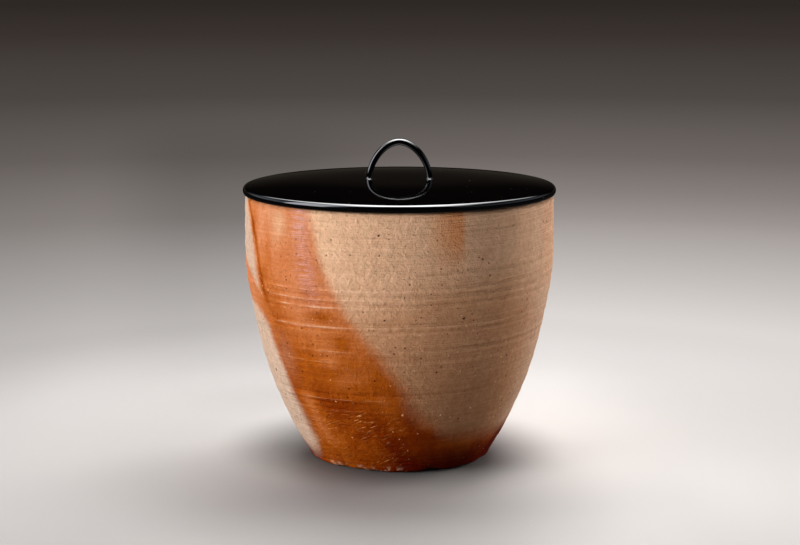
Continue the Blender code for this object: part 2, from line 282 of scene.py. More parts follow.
def jar_grid():
    """The jar's surface: its section carried round Z, moved out by relief on the outside."""
    section = jar_section()
    grid = turned_grid(section, JAR_COLUMNS)
    rows = len(section)
    rim = int(np.argmax(section[:, 1]))
    azimuth = np.linspace(-math.pi, math.pi, JAR_COLUMNS, endpoint=False)[None, :]
    z = section[:, 1, None]
    r = section[:, 0, None]
    relief = np.where(outside_rows()[:, None], thrown_relief(azimuth, z), 0.0)
    inside_wall = (np.arange(rows) < rim - PLAIN_RINGS_IN)[:, None] & (z > INNER_RIDGE_START)
    spiral = SPIRAL_RISE * azimuth / (2 * math.pi)
    groove = INNER_RIDGE * np.sin((z - spiral) * 2 * math.pi / SPIRAL_RISE)
    fade = np.clip((JAR_HEIGHT - INNER_RIDGE_END - z) / INNER_RIDGE_FADE, 0.0, 1.0)
    relief = np.where(inside_wall, groove * fade, relief)
    lift, wear = worn_foot(azimuth, z)
    outer_rows = (np.arange(rows) > rim + PLAIN_RINGS_OUT)[:, None]
    foot_zone = outer_rows & (r > FOOT_RADIUS - STAND_WIDTH)
    relief = np.where(foot_zone, relief - wear, relief)
    edge_zone = foot_zone & (z < LIFTED_HEIGHT) & (r > FOOT_RADIUS * LIFTED_SHARE)
    lift = np.where(edge_zone, lift, 0.0)
    shift = (r + relief) / np.maximum(r, 1e-9)
    grid[..., 0] *= shift
    grid[..., 1] *= shift
    grid[..., 2] = np.clip(grid[..., 2] + lift, 0.0, JAR_HEIGHT)
    return grid


class Wire:
    """A socket of a material. Arithmetic on wires adds the Math nodes that it needs."""

    def __init__(self, finish, socket):
        self.finish = finish
        self.socket = socket

    def math(self, operation, *values):
        return self.finish.node("Math", {"operation": operation}, dict(enumerate(values)))

    def __add__(self, other):
        return self.math("ADD", self, other)

    def __sub__(self, other):
        return self.math("SUBTRACT", self, other)

    def __mul__(self, other):
        return self.math("MULTIPLY", self, other)

    def __truediv__(self, other):
        return self.math("DIVIDE", self, other)

    def __neg__(self):
        return self.math("MULTIPLY", self, -1.0)

    def __rsub__(self, other):
        return self.math("SUBTRACT", other, self)

    __radd__ = __add__
    __rmul__ = __mul__

    def lesser(self, other):
        return self.math("MINIMUM", self, other)

    def greater(self, other):
        return self.math("MAXIMUM", self, other)

    def rise(self, low, high):
        """Smooth step from zero at low to one at high; it falls where high is the lower."""
        return self.finish.node("MapRange", {"interpolation_type": "SMOOTHSTEP"},
                                {"Value": self, "From Min": low, "From Max": high})

    def bell(self, centre, width):
        """One at the centre, falling to zero at the width on both sides."""
        away = self - centre
        return away.math("ABSOLUTE", away).rise(width, 0)


class Finish:
    """The nodes of a material: node() adds one, settings first, and returns an output."""

    def __init__(self, owner, shader="Principled BSDF"):
        owner.use_nodes = True
        self.owner = owner
        self.tree = owner.node_tree
        self.shader = self.tree.nodes[shader]

    def node(self, kind, settings=None, values=None, out=0):
        made = self.tree.nodes.new("ShaderNode" + kind)
        for name, value in (settings or {}).items():
            if name == "stops":
                self.set_stops(made.color_ramp, value)
            elif name == "points":
                self.set_points(made.mapping, value)
            else:
                setattr(made, name, value)
        for name, value in (values or {}).items():
            self.feed(made.inputs[name], value)
        return Wire(self, made.outputs[out])

    def feed(self, socket, value):
        if isinstance(value, Wire):
            self.tree.links.new(value.socket, socket)
        else:
            socket.default_value = value

    def set_stops(self, ramp, stops):
        while len(ramp.elements) < len(stops):
            ramp.elements.new(0.5)
        for element, (place, *colour) in zip(ramp.elements, stops):
            element.position = place
            element.color = tone(*colour)

    def set_points(self, mapping, points):
        curve = mapping.curves[0]
        for place in points[1:-1]:
            curve.points.new(*place)
        curve.points[0].location, curve.points[-1].location = points[0], points[-1]
        mapping.update()

    def set(self, name, value):
        self.feed(self.shader.inputs[name], value)

    def where(self):
        """The point on the surface, in the object's own metres."""
        return self.node("TexCoord", out="Object")

    def scaled(self, vector, x, y, z):
        return self.node("VectorMath", {"operation": "MULTIPLY"}, {0: vector, 1: (x, y, z)})

    def split(self, vector):
        parts = self.node("SeparateXYZ", values={0: vector}).socket.node.outputs
        return [Wire(self, parts[axis]) for axis in range(3)]

    def join(self, x, y, z):
        return self.node("CombineXYZ", values={0: x, 1: y, 2: z})

    def noise(self, vector, scale, detail=2.0, rough=0.5):
        return self.node("TexNoise", values={"Vector": vector, "Scale": scale,
                                             "Detail": detail, "Roughness": rough})

    def jittered(self, vector, scale, reach):
        """The vector, moved by up to half the reach by a noise of that scale."""
        move = self.node("TexNoise", values={"Vector": vector, "Scale": scale}, out=1)
        centred = self.node("VectorMath", {"operation": "SUBTRACT"}, {0: move, 1: (0.5,) * 3})
        return self.node("VectorMath", {"operation": "MULTIPLY_ADD"},
                         {0: centred, 1: (reach,) * 3, 2: vector})

    def cells(self, vector, scale):
        """Distance to the nearest of many scattered points, and two chances for that point."""
        made = self.node("TexVoronoi", values={"Vector": vector, "Scale": scale}).socket.node
        first, second, _ = self.split(Wire(self, made.outputs["Color"]))
        return Wire(self, made.outputs["Distance"]), first, second

    def follow(self, value, table):
        """Height of a smooth curve through a table of points, level beyond its ends."""
        places, levels = np.array(table, float).T
        low, reach = levels.min(), np.ptp(levels)
        share = self.node("MapRange", values={"Value": value, "From Min": places[0],
                                              "From Max": places[-1]})
        points = zip((places - places[0]) / np.ptp(places), (levels - low) / reach)
        curve = self.node("FloatCurve", {"points": list(points)}, {"Value": share})
        return curve * float(reach) + float(low)

    def mix(self, amount, first, second):
        """Colour that goes from the first to the second as the amount goes from 0 to 1."""
        return self.node("Mix", {"data_type": "RGBA"}, {0: amount, 6: first, 7: second}, out=2)

    def dimmed(self, colour, share):
        return self.node("VectorMath", {"operation": "SCALE"}, {0: colour, "Scale": share})

    def bump(self, height, depth):
        """Normal of a surface raised by the height, a share of the depth in metres."""
        return self.node("Bump", values={"Strength": 1.0, "Distance": depth, "Height": height})

    def within(self, measures, windows):
        """One where all windows are full: each names a measure and where it rises."""
        share = 1.0
        for name, start, full in windows:
            share = measures[name].rise(start, full) * share
        return share


def tone(red, green, blue):
    """Linear colour of a tone written on the usual screen scale of 0 to 255."""
    parts = [value / 255.0 for value in (red, green, blue)]
    linear = [p / 12.92 if p <= 0.04045 else ((p + 0.055) / 1.055) ** 2.4 for p in parts]
    return (*linear, 1.0)


# Where the flame passed, as its edges drawn on the unrolled wall: azimuths in degrees
# against heights in mm, or heights against azimuths
FLAME_RIGHT_EDGE = (
    (0, 22), (30, 15), (38, 10), (46.5, 5), (55, 2), (65, -2.5), (78, -8), (91.5, -13.5),
    (101.5, -19), (116.5, -24), (130, -28), (145, -31), (163, -34.5),
)
FLAME_LEFT_EDGE = (
    (0, -55), (15, -50), (28, -50.8), (45, -53.5), (61.5, -55.5), (75, -58.5), (87, -60.5),
    (100, -61.5), (111.5, -63.5), (118, -64.5), (133, -66.5), (146.5, -70), (163, -77),
)
TONGUE_TOP = (
    (-180, 178), (-150, 168), (-120, 150), (-90, 131), (-78, 124), (-66, 112), (-52, 100),
)
TONGUE_BOTTOM = (
    (-180, 148), (-150, 138), (-120, 120), (-90, 107), (-73, 100), (-64, 94), (-58, 86),
    (-50, 78),
)
FOOT_RING_TOP = (
    (-180, 20), (-130, 24), (-100, 14), (-76, 13), (-66, 9), (-56, 11), (-46, 24), (-20, 34),
    (10, 35), (18, 29), (27, 25), (42, 22), (57, 20.5), (68, 23), (100, 25), (140, 21),
    (180, 20),
)
# How dark the flame burnt the clay at each height (mm), from peach at 0 to dark red at 1
BURN_BY_HEIGHT = (
    (0, 0.70), (12, 0.66), (30, 0.66), (45, 0.70), (61, 0.63), (75, 0.56), (85, 0.48),
    (95, 0.37), (117, 0.27), (130, 0.27), (150, 0.17), (163, 0.20),
)
# Tones along that burn: its share, then red, green and blue of 255
BURN_TONES = (
    (0.00, 208, 156, 119), (0.20, 196, 123, 81), (0.40, 181, 103, 52), (0.60, 157, 77, 14),
    (0.80, 126, 49, 0), (1.00, 94, 17, 0),
)
# Patches in the flame: azimuth and height of the middle, half width (degrees), half
# height (mm), and by how much they are darker or lighter. Most are burnt darker or lighter;
# the two low at the foot's sides (-76 and 78 degrees) are painted shade where the foot meets the
# floor
FLAME_PATCHES = (
    (-55, 104, 14, 30, 0.26), (-55, 136, 3.5, 26, 0.13), (-53, 74, 7, 30, 0.10),
    (-41, 32, 9, 23, -0.26), (-29, 79, 9, 12, -0.14), (-76, 4, 30, 13, 0.50),
    (78, 6, 22, 18, 0.50), (36, 20, 38, 11, -0.22), (34, 9, 44, 7, -0.08),
    (-44.5, 47, 8, 11, -0.22), (-30, 43, 13, 17, 0.14), (-19, 63, 13, 9, -0.11),
    (-22, 86, 7, 9, 0.16), (-48, 154, 6, 11, -0.14), (-66, 151, 6, 20, 0.26),
    (-30, 103, 12, 5, 0.12), (-36, 94.5, 24, 2.2, -0.08), (-27, 79, 11, 3.5, -0.08),
    (-28, 72, 8, 8, -0.17), (-34, 20, 12, 11, -0.13), (-30, 100, 12, 6, 0.24),
    (-35, 113, 6, 9, 0.14), (-28, 118, 5, 8, -0.11), (-5, 49, 12, 11, -0.17),
    (-58, 122, 4.5, 11, 0.18), (-26, 56, 9, 12, -0.13), (-19, 25, 7, 9, 0.18),
    (13, 35, 10, 11, -0.30),
)
# Where short strokes were rubbed into the clay: azimuth, height, half width, half height
# and strength
RUBBED_PATCHES = (
    (-15.5, 36, 10, 8, 1), (-37, 29, 7, 6, 0.40), (-29, 19.5, 4, 5, 0.50),
    (-41, 19, 4, 4, 0.35), (-10, 9.5, 8, 4, 0.50), (0, 27, 5, 6, 0.40),
)
# Ground of the clay where no flame passed: pale at the top, browner lower down
GROUND_BY_HEIGHT = (
    (0, 1), (45, 0.98), (62, 0.90), (78, 0.76), (95, 0.62), (108, 0.50), (120, 0.32),
    (134, 0.12), (163, 0),
)
GROUND_TONES = (
    (0, 216, 175, 141), (0.5, 187, 141, 105), (1, 158, 115, 82),
)
CREAM_TONE = tone(191, 165, 144)
MAUVE_TONE = tone(206, 160, 158)
FLUSH_TONE = tone(206, 132, 78)
INSIDE_TONE = tone(176, 138, 108)
CHIP_TONE = tone(196, 160, 132)
GRIT_TONE = tone(232, 200, 168)
STROKE_TONE = tone(238, 172, 104)
# Near black brown of the pits: painted shade in the holes
PAINTED_PIT_SHADE = tone(66, 18, 0)
# How the fine structure deepens the clay's hue and shades it, and its level without it
CLAY_DEEPENING = 0.38
CLAY_CONTRAST = 0.55
CLAY_LEVEL = 1.05
# Larger pits: azimuth (degrees), height (mm), half width (mm)
PITS = (
    (24.2, 100.4, 1), (33.9, 124.9, 0.8), (14.8, 131, 0.7), (54.6, 109.9, 0.8), (56.3, 91, 0.7),
    (-12.9, 105.4, 0.7), (-17.2, 138.9, 0.8), (-24.3, 147, 0.7), (-65, 59.5, 1.1),
    (16.6, 71.5, 0.7), (28.3, 36.3, 0.9),
)


def on_jar(paint):
    """The point itself, its azimuth in degrees, its height in mm, and its throwing level."""
    spot = paint.where()
    x, y, z = paint.split(spot)
    side = x.math("ARCTAN2", x, -y) * (180.0 / math.pi)
    height = z * 1000.0
    return spot, side, height, height - side * (SPIRAL_RISE * 1000.0 / 360.0)


def flame_mask(paint, spot, side, height):
    """How far the flame coloured the clay: its band, a tongue from the left, the foot's ring."""
    sway = (paint.noise(spot, 24, 3) - 0.5) * 9.0
    fray = (paint.noise(spot, 420, 3, 0.65) - 0.5) * 7.0
    wander = sway + fray
    soft = height.rise(150, 30) * 3.4 + height.rise(56, 36) * 4.0 + 2.6
    right = (paint.follow(height, FLAME_RIGHT_EDGE) - side + wander * 0.55) / soft
    blurred = height.rise(64, 26) * 2.4 + 2.6
    left = (side - paint.follow(height, FLAME_LEFT_EDGE) + wander * 0.45) / blurred
    band = right.rise(-1, 1) * left.rise(-1, 1)
    above = (height - paint.follow(side, TONGUE_BOTTOM) + wander) / 5.0
    below = (paint.follow(side, TONGUE_TOP) - height + wander * 0.7) / 4.0
    tongue = above.rise(-1, 1) * below.rise(-1, 1) * side.rise(-172, -138)
    tongue = tongue * side.rise(-47, -55)
    ring = ((paint.follow(side, FOOT_RING_TOP) - height + wander) / 8).rise(-1, 1)
    return band.greater(tongue).greater(ring)


def flame_tone(paint, spot, side, height, level):
    """Colour where the flame passed, from how dark it burnt, with painted shade low at the foot.
    """
    burn_and_shade = paint.follow(height, BURN_BY_HEIGHT)
    low = side.rise(-34, 6) * height.rise(62, 14) * 0.25
    low += side.rise(-14, 14) * height.rise(17, 3) * 0.13
    burn_and_shade += low * side.rise(176, 110)
    edge = (side - paint.follow(height, FLAME_LEFT_EDGE)).bell(3.6, 2.6)
    burn_and_shade += edge * height.rise(98, 116) * 0.36
    # Painted shade: the patches low at the foot's sides darken it where the foot meets the floor
    for azimuth, middle, half_width, half_height, change in FLAME_PATCHES:
        burn_and_shade += side.bell(azimuth, half_width) * height.bell(middle, half_height) * change
    cloud = paint.noise(paint.scaled(spot, 1, 1, 0.45), 75) - 0.5
    streak = paint.noise(paint.join(side * 0.02, level * 0.55, 3), 1, 1) - 0.5
    slant = paint.noise(paint.join((side + height * 0.42) * 0.11, height * 0.02, 9), 1) - 0.5
    grain = paint.noise(spot, 900, 2, 0.7) - 0.5
    burn_and_shade += cloud * 0.30 + streak * 0.14 + grain * 0.06
    burn_and_shade += slant * height.rise(70, 40) * 0.30
    return paint.node("ValToRGB", {"stops": BURN_TONES}, {0: burn_and_shade})


def ground_tone(paint, spot, side, height):
    """Colour of the clay itself: tan that darkens downwards, cream on the sheltered side."""
    cloud = (paint.noise(spot, 30, 4, 0.6) - 0.5) * 16.0
    pale_side = side.rise(16, -16) * 20.0 + side.rise(40, 66) * 20.0
    dark = paint.follow(height + pale_side + cloud, GROUND_BY_HEIGHT)
    tan = paint.node("ValToRGB", {"stops": GROUND_TONES}, {0: dark})
    sheltered = side.rise(-44, -58).greater(side.rise(48, 74) * 0.55)
    sheltered = sheltered.greater(side.rise(112, 168))
    ground = paint.mix(sheltered, tan, CREAM_TONE)
    blush = paint.noise(spot, 110, 4, 0.6).rise(0.35, 0.65)
    ground = paint.mix(blush, ground, paint.scaled(ground, 1.02, 0.98, 1.0))
    drip = paint.noise(paint.join(side * 0.16, height * 0.012, 0), 1, 3, 0.6)
    flush = side.bell(71, 12) * height.rise(96, 130) * 0.4
    flush = (flush + side.bell(104, 34) * 0.8) * drip.rise(0.30, 0.72)
    flush += side.rise(7, 21) * side.rise(24.5, 22) * height.rise(124, 152) * 0.9
    flush = flush * (0.75 + cloud * 0.04 + drip * 0.4)
    return paint.mix(flush, ground, FLUSH_TONE)


def wheel_lines(paint, spot, side, level):
    """Height of the wheel marks in mm, worn away in places."""
    wavy = level + (paint.noise(spot, 26) - 0.5) * 1.0
    rings = 0.0
    for start, end in sorted({mark[3:] for mark in WHEEL_MARKS}):
        lines = 0.0
        for middle, out, half_width, *span in WHEEL_MARKS:
            if span == [start, end]:
                lines = lines + wavy.bell(middle, half_width * 1.3) * out
        shown = side.rise(start - 8, start + 8) * side.rise(end + 8, end - 8)
        rings = rings + lines * shown
    worn = paint.noise(paint.join(side * 0.09, level * 0.5, 5), 1, 3, 0.65)
    return rings * worn.rise(0.28, 0.58)


def pits_and_grits(paint, spot):
    """Where coarse grains stand out of the clay, and where others have left a pit."""
    crumbled = paint.jittered(spot, 1100.0, 0.0012)
    gap, chance, size = paint.cells(crumbled, 330.0)
    speck = (gap - size * 0.12).rise(0.15, 0.04)
    patchy = paint.noise(spot, 55).rise(0.38, 0.58)
    grits = speck * chance.rise(0.74, 0.80) * patchy
    pits = speck * chance.rise(0.34, 0.27) * patchy * (0.45 + size * 0.55)
    for azimuth, middle, half_width in PITS:
        radius = float(wall_outside(middle * 0.001))
        a = math.radians(azimuth)
        centre = (radius * math.sin(a), -radius * math.cos(a), middle * 0.001)
        away = paint.node("VectorMath", {"operation": "DISTANCE"}, {0: crumbled, 1: centre}, out=1)
        pits = pits.greater((away * 1000).rise(half_width * 1.1, half_width * 0.3))
    return pits, grits


def rubbed_strokes(paint, spot, side, height):
    """Short strokes that rise to the right, rubbed into the low part of the flame."""
    along = side * 1.06 + height * 0.42
    across = height * 0.91 - side * 0.49
    stroke = paint.noise(paint.join(along * 0.17, across * 1.25, 7), 1, 2, 0.45)
    zone = side.rise(12, -4) * side.rise(-54, -42)
    zone = zone * height.rise(46, 38) * height.rise(3, 9) * 0.22
    for azimuth, middle, half_width, half_height, strength in RUBBED_PATCHES:
        patch = side.bell(azimuth, half_width) * height.bell(middle, half_height)
        zone = zone.greater(patch.rise(0, 0.5) * strength)
    return stroke, zone * paint.noise(spot, 62).rise(0.36, 0.58)


def mauve_streak(paint, spot, side, height, level):
    """A mauve streak that climbs beside the flame's right edge, broken into threads."""
    sway = (paint.noise(spot, 60) - 0.5) * 6.0
    mauve = (side + sway + (height - 125) * 0.085 + 35).bell(0, 6)
    thread = paint.noise(paint.join(side * 0.09, level * 2, 0), 1)
    return mauve * height.rise(96, 126) * thread.rise(0.42, 0.60)


def clay_structure(paint, spot, side, height, level):
    """Fine structure, each part round zero: wheel lines, threads, blotches, lumps, grain."""
    lines = paint.noise(paint.join(side * 0.012, level * 0.9, 1), 1, 4, 0.7) - 0.5
    combed = height.rise(141, 150) * side.rise(-28, 4) * 0.9 + 0.35
    threads = paint.noise(paint.join(side * 0.05, level * 1.7, 2), 1, 1) - 0.5
    threads = threads * combed * paint.noise(spot, 50).rise(0.35, 0.60)
    blotch = paint.noise(spot, 120, 5, 0.7) - 0.5
    lumps = paint.noise(spot, 340, 3, 0.65) - 0.5
    grain = paint.noise(spot, 1300, 2, 0.7) - 0.5
    return lines, threads, blotch, lumps, grain


def fired_clay():
    """Coarse stoneware: tan to cream clay, orange to dark red where the flame passed."""
    paint = Finish(bpy.data.materials.new("fired_clay"))
    spot, side, height, level = on_jar(paint)
    outside = paint.node("Attribute", {"attribute_name": "outside"}, out=2)
    flame = flame_mask(paint, spot, side, height) * outside
    rings = wheel_lines(paint, spot, side, level) * outside
    pits, grits = pits_and_grits(paint, spot)
    stroke, rubbed = rubbed_strokes(paint, spot, side, height)
    ground = ground_tone(paint, spot, side, height)
    ground = paint.mix(outside, INSIDE_TONE, ground)
    colour = paint.mix(flame, ground, flame_tone(paint, spot, side, height, level))
    mauve = mauve_streak(paint, spot, side, height, level)
    colour = paint.mix(mauve * 0.66, colour, MAUVE_TONE)
    chipped = paint.noise(spot, 230).rise(0.46, 0.56) * height.rise(5.5, 2)
    chipped = chipped * side.bell(-24, 36).rise(0, 0.4) * outside
    colour = paint.mix(chipped * 0.58, colour, CHIP_TONE)
    colour = paint.mix(stroke.rise(0.57, 0.68) * rubbed * 0.85, colour, STROKE_TONE)
    colour = paint.mix(grits * (0.58 - flame * 0.36) * outside, colour, GRIT_TONE)
    # Painted shade: the pits are darkened to near black brown
    colour = paint.mix(pits * 0.95 * outside, colour, PAINTED_PIT_SHADE)
    # Painted highlight: a cream paling near the jar's left edge, low to middle height
    painted_edge_highlight = side.bell(-52, 9) * height.bell(73, 24) * 0.14
    colour = paint.mix(painted_edge_highlight, colour, CREAM_TONE)
    # Crests of the wheel ridges painted cream: partly paler rubbed clay, partly a painted
    # highlight
    colour = paint.mix(rings.rise(0.08, 0.36) * (flame * 0.30 + 0.26), colour, CREAM_TONE)
    lines, threads, blotch, lumps, grain = clay_structure(paint, spot, side, height, level)
    rough = (lines * 0.58 + blotch * 0.50 + lumps * 0.72) * (1.0 - flame * 0.25)
    # The ridges' height also paints them lighter and the grooves darker: painted shading of that
    # relief
    change = rough + grain * 0.40 + threads * 0.85 + rings * 1.1
    change += (stroke - 0.5) * rubbed * 0.6
    gamma = 1.0 - change * CLAY_DEEPENING
    colour = paint.node("Gamma", values={"Color": colour, "Gamma": gamma})
    colour = paint.dimmed(colour, change * CLAY_CONTRAST + CLAY_LEVEL)
    paint.set("Base Color", colour)
    paint.set("Roughness", 0.86 - flame * 0.22 + grain * 0.15)
    paint.set("Specular IOR Level", 0.06)
    relief = grain + lines * 1.2 + blotch * 1.4 + lumps * 1.9 + threads * 0.9 + rings * 0.9
    relief += (grits - pits) * 1.3 + (stroke - 0.5) * rubbed * 0.6
    paint.set("Normal", paint.bump(relief, 0.0008))
    return paint.owner


def mark_rows(mesh, name, values, columns):
    """Store one value for each ring of a turned mesh, for its finish to read."""
    marks = np.concatenate([values[:1], np.repeat(values[1:-1], columns), values[-1:]])
    mesh.attributes.new(name, "FLOAT", "POINT").data.foreach_set("value", marks)


jar_mesh = closed_mesh("thrown_jar", jar_grid())
mark_rows(jar_mesh, "outside", outside_rows().astype(float), JAR_COLUMNS)
place_piece("thrown_jar", jar_mesh, "jar", fired_clay(), ["jar_body"])

# The grits.
# Coarse grains of quartz and feldspar that stand out of the jar's wall. The fire left them
# paler than the clay, and each one sits in it to about half its depth.
GRIT_RINGS = 7
GRIT_COLUMNS = 10
SCATTERED_GRITS = 270
# Their heights and half widths (mm), and the power that crowds them upwards
GRIT_HEIGHTS = (8.0, 156.0)
GRIT_HALF_WIDTHS = (0.24, 0.52)
GRIT_CROWDING = 0.45
GRIT_HEIGHT_SHARE = 0.6
GRIT_SHADE = tone(176, 136, 104)
# Azimuth (degrees), height and half width (mm) of the grits that catch the eye
LARGE_GRITS = (
    (9.8, 140.7, 0.86), (15.3, 141, 0.39), (30.4, 154.1, 0.47), (21.9, 158, 0.39),
    (-7, 110.7, 0.62), (-9, 131.6, 0.47), (-8, 137, 0.55), (-4.4, 155, 0.62), (-56, 112, 0.62),
    (-51, 114.8, 0.47), (-33.5, 98.4, 0.55), (-25.7, 99, 0.55), (-29.1, 61.4, 0.62),
    (-3.6, 60, 0.55), (-28.5, 47.5, 0.62), (1.5, 40.8, 0.86), (-3, 29.4, 0.50), (0, 24.4, 0.45),
    (9, 28, 0.42), (-24.3, 23.8, 0.55), (4.5, 16.5, 0.35),
)


def scattered_grits():
    """Smaller grits at random all round the wall, most of them in its upper half."""
    chance = np.random.default_rng(7)
    azimuth = chance.uniform(-180.0, 180.0, SCATTERED_GRITS)
    share = chance.uniform(0.0, 1.0, SCATTERED_GRITS) ** GRIT_CROWDING
    height = GRIT_HEIGHTS[0] + np.ptp(GRIT_HEIGHTS) * share
    half_width = chance.uniform(*GRIT_HALF_WIDTHS, SCATTERED_GRITS)
    return np.stack([azimuth, height, half_width], 1)


def grit_grids():
    """Surfaces of the grits, one grid each: a ball with its middle in the wall's surface,
    flattened along the wall's outward direction and longer one way than the other."""
    azimuth, height, half = np.concatenate([np.array(LARGE_GRITS), scattered_grits()]).T
    a, z = np.radians(azimuth), height * 0.001
    lean = np.arctan((wall_outside(z + 0.001) - wall_outside(z - 0.001)) / 0.002)
    out = np.stack([np.cos(lean) * np.sin(a), -np.cos(lean) * np.cos(a), -np.sin(lean)], 1)
    along = np.stack([np.cos(a), np.sin(a), 0 * a], 1)
    up = np.cross(out, along)
    r = wall_outside(z) + thrown_relief(a, z)
    middle = np.stack([r * np.sin(a), -r * np.cos(a), z], 1)
    polar = np.linspace(0.0, math.pi, GRIT_RINGS)[:, None]
    turn = np.linspace(0.0, 2 * math.pi, GRIT_COLUMNS, endpoint=False)
    size = half[:, None, None, None] * 0.001
    skew = 1.0 + 0.25 * np.sin(azimuth * 7.0)[:, None, None, None]
    lump = (1.0 + 0.20 * np.sin(2 * turn + azimuth[:, None, None])
            + 0.16 * np.sin(3 * turn - 2 * azimuth[:, None, None]))[..., None]
    across = (np.sin(polar) * np.cos(turn))[..., None] * size * skew * lump
    rise = (np.sin(polar) * np.sin(turn))[..., None] * size / skew * lump
    deep = (np.cos(polar) + 0 * turn)[..., None] * size * GRIT_HEIGHT_SHARE
    return (middle[:, None, None] + along[:, None, None] * across + up[:, None, None] * rise
            + out[:, None, None] * deep)


def grit_stone():
    """Pale quartz and feldspar, tinted by the clay round each grain and mottled."""
    paint = Finish(bpy.data.materials.new("grit_stone"))
    spot, side, height, _ = on_jar(paint)
    flame = flame_mask(paint, spot, side, height)
    mottle = paint.noise(spot, 900, 3, 0.6)
    stone = paint.mix(mottle.rise(0.3, 0.7), GRIT_TONE, GRIT_SHADE)
    stone = paint.mix(flame * (0.50 + mottle * 0.5), stone, FLUSH_TONE)
    paint.set("Base Color", stone)
    paint.set("Roughness", 0.5 + mottle * 0.3)
    paint.set("Specular IOR Level", 0.15)
    paint.set("Normal", paint.bump(mottle, 0.0002))
    return paint.owner


place_piece("clay_grits", closed_mesh("clay_grits", *grit_grids()), "jar",
            grit_stone())

# The lid board.
# A wooden disc, turned with a low dome and a rounded edge, coated with black lacquer and
# polished to a mirror. It rests on the rim by its weight.
board_low, board_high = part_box("lid_board")
LID_RADIUS = board_high.x
LID_UNDERSIDE = board_low.z
LID_EDGE_HEIGHT = 0.0051
LID_CROWN = board_high.z - LID_UNDERSIDE - LID_EDGE_HEIGHT
LID_EDGE_UNDERCUT = 0.0017
LID_EDGE_LOWER_HEIGHT = 0.0024
LID_SHOULDER_WIDTH = 0.0024
LID_HOLLOW_DEPTH = 0.0022
LID_COLUMNS = 288
CROWN_POWER = 3.6
RING_PLAY = 0.0015
RING_THICKNESS = 0.0030
RING_GROOVE_DEPTH = 0.0016
LACQUER_COAT = 0.0003
RING_OUTER_RADIUS = WALL_RADIUS - RIM_THICKNESS - RING_PLAY
LACQUER_TONE = tone(1.6, 1.4, 1.4)
LACQUER_BROWN = tone(3.4, 2.4, 1.9)
DUST_TONE = tone(96, 90, 84)


def crown_height(r):
    """Height of the lid's top at a radius: a dome that falls with a power of the radius."""
    share = r / (LID_RADIUS - LID_SHOULDER_WIDTH)
    return LID_UNDERSIDE + LID_EDGE_HEIGHT + LID_CROWN * (1.0 - share ** CROWN_POWER)


def board_section():
    """Half section of the board, from its crown round the edge to the hollow below."""
    shoulder_r = LID_RADIUS - LID_SHOULDER_WIDTH
    widest = LID_UNDERSIDE + LID_EDGE_LOWER_HEIGHT
    top_r = np.linspace(0.0, shoulder_r, 48)
    top = np.stack([top_r, crown_height(top_r)], 1)
    shoulder = quarter(shoulder_r, widest, LID_SHOULDER_WIDTH,
                       LID_EDGE_HEIGHT - LID_EDGE_LOWER_HEIGHT, 90, 0, 12)
    lower = quarter(LID_RADIUS - LID_EDGE_UNDERCUT, widest, LID_EDGE_UNDERCUT,
                    LID_EDGE_LOWER_HEIGHT, 0, -90, 14)
    groove_out = RING_OUTER_RADIUS + LACQUER_COAT
    groove_in = RING_OUTER_RADIUS - RING_THICKNESS - LACQUER_COAT
    groove_top = LID_UNDERSIDE + RING_GROOVE_DEPTH
    corners = np.array([[groove_out, LID_UNDERSIDE], [groove_out, groove_top],
                        [groove_in, groove_top], [groove_in, LID_UNDERSIDE]])
    hollow_r = np.linspace(groove_in, 0.0, 24)[1:]
    hollow = np.stack([hollow_r,
                       LID_UNDERSIDE + LID_HOLLOW_DEPTH * (1 - (hollow_r / groove_in) ** 2)], 1)
    return np.concatenate([top, shoulder, lower, corners, hollow])


def black_lacquer(name, roughness):
    """Polished black lacquer: a little browner and less glossy in clouds, with some dust."""
    paint = Finish(bpy.data.materials.new(name))
    spot = paint.where()
    cloud = paint.noise(spot, 38, 3, 0.6)
    gap, chance, size = paint.cells(spot, 420.0)
    dust = (gap - size * 0.07).rise(0.10, 0.02) * chance.rise(0.90, 0.93)
    coat = paint.mix(cloud.rise(0.35, 0.70), LACQUER_TONE, LACQUER_BROWN)
    paint.set("Base Color", paint.mix(dust * 0.6, coat, DUST_TONE))
    paint.set("Roughness", roughness * (0.8 + cloud * 0.4) + dust * 0.4)
    paint.set("IOR", 1.52)
    return paint.owner


board_mesh = closed_mesh("lacquered_board", turned_grid(board_section(), LID_COLUMNS))
place_piece("lacquered_board", board_mesh, "lid",
            black_lacquer("lid_lacquer", 0.05), ["lid_board"])

# The seat ring.
# A thin hoop of wood glued into a groove under the board. It drops into the mouth and
# keeps the lid centred, and is lacquered like the rest.
ring_low, ring_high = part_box("lid_seat_ring")
RING_COLUMNS = 192
RING_EDGE_POWER = 0.25


def ring_section():
    """Closed half section of the hoop: a tall superellipse with eased edges."""
    angle = np.linspace(0.0, 2 * math.pi, 40, endpoint=False)
    across, up = np.cos(angle), np.sin(angle)
    r = (RING_OUTER_RADIUS - RING_THICKNESS / 2
         + np.sign(across) * abs(across) ** RING_EDGE_POWER * RING_THICKNESS / 2)
    middle, half = (ring_low.z + ring_high.z) / 2, (ring_high.z - ring_low.z) / 2
    return np.stack([r, middle + np.sign(up) * abs(up) ** RING_EDGE_POWER * half], 1)


def hoop_mesh(name, section, columns):
    """Mesh of a closed half section carried right round Z, with no poles."""
    grid = turned_grid(section, columns)
    rows = len(section)
    row = np.arange(rows)[:, None] * columns
    below = np.roll(np.arange(rows), -1)[:, None] * columns
    here = np.arange(columns)
    after = np.roll(here, -1)
    quads = np.stack([row + here, row + after, below + after, below + here], -1)
    return smooth_mesh(name, grid.reshape(-1, 3).tolist(), quads.reshape(-1, 4).tolist())


place_piece("seat_hoop", hoop_mesh("seat_hoop", ring_section(), RING_COLUMNS), "lid",
            black_lacquer("ring_lacquer", 0.18), ["lid_seat_ring"])

